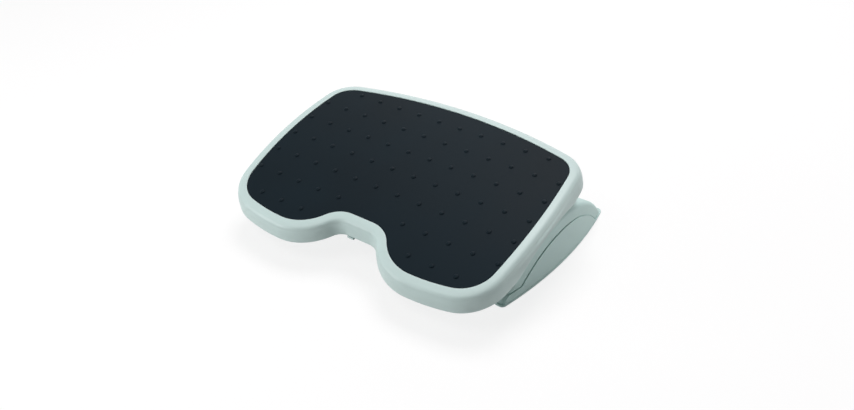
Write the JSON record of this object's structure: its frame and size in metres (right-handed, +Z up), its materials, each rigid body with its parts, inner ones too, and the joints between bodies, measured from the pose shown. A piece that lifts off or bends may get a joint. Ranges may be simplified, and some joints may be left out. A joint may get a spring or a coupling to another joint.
{
  "type": "tilting footrest",
  "caption": "Under-desk footrest: a notched, rimmed platform with a studded rubber mat rocks on an arched base and is held by a toe-released brake.",
  "frame": {"origin": "on the floor under the middle of the footrest's box: midway between its sides, and midway between the front rim and the rear edge of the base", "axes": "+X to the sitter's right, +Y away from the sitter towards the raised rear edge, +Z up; rest pose is the tilt in the picture"},
  "size_m": [0.4698, 0.3777, 0.1394],
  "materials": {
    "rim_plastic": "fine-grained, light cool grey",
    "cover_plastic": "fine-grained, mid blue-grey",
    "base_plastic": "fine-grained, mid blue-grey",
    "mat_rubber": "matt, finely textured, near-black with a blue cast",
    "foot_rubber": "matt black",
    "slide_plastic": "smooth, natural white",
    "brake_rubber": "matt, grooved",
    "inner_plastic": "dark grey, moulded",
    "lever_steel": "black powder coat",
    "tab_plastic": "black, moulded",
    "screw_steel": "zinc plated",
    "pin_steel": "turned",
    "spring_steel": "tempered strip",
    "rivet_aluminium": "upset heads"
  },
  "bodies": {
    "base": {"base_hood": "base_plastic", "base_pan": "base_plastic", "left_side_cover": "cover_plastic", "right_side_cover": "cover_plastic", "front_left_foot": "foot_rubber", "front_right_foot": "foot_rubber", "rear_left_foot": "foot_rubber", "rear_right_foot": "foot_rubber", "left_glide_strip": "slide_plastic", "right_glide_strip": "slide_plastic", "brake_track": "brake_rubber", "pan_screws": "screw_steel"},
    "platform": {"tray_shell": "rim_plastic", "tread_mat": "mat_rubber", "left_runner": "inner_plastic", "right_runner": "inner_plastic", "guide_bolts": "screw_steel", "guide_bushes": "slide_plastic", "runner_screws": "screw_steel", "lever_bracket": "inner_plastic", "bracket_screws": "screw_steel", "pivot_pin": "pin_steel", "pin_clip": "pin_steel", "lever_spring": "spring_steel"},
    "release_lever": {"lever_arm": "lever_steel", "brake_shoe": "inner_plastic", "brake_lining": "brake_rubber", "shoe_rivets": "rivet_aluminium", "toe_tab": "tab_plastic", "toe_tip": "foot_rubber"}
  },
  "joints": [
    {"name": "platform_tilt", "type": "hinge", "parent": "base", "child": "platform", "pos_m": [0, 0.0462, -0.0966], "axis": [1, 0, 0], "range_deg": [-14.1, 7]},
    {"name": "release_press", "type": "hinge", "parent": "platform", "child": "release_lever", "pos_m": [-0.016, -0.07179, 0.04643], "axis": [1, 0, 0], "range_deg": [0, 7], "stiffness_Nm_per_rad": 2.5, "springref_deg": -6.88, "deforming": ["lever_spring"]}
  ]
}
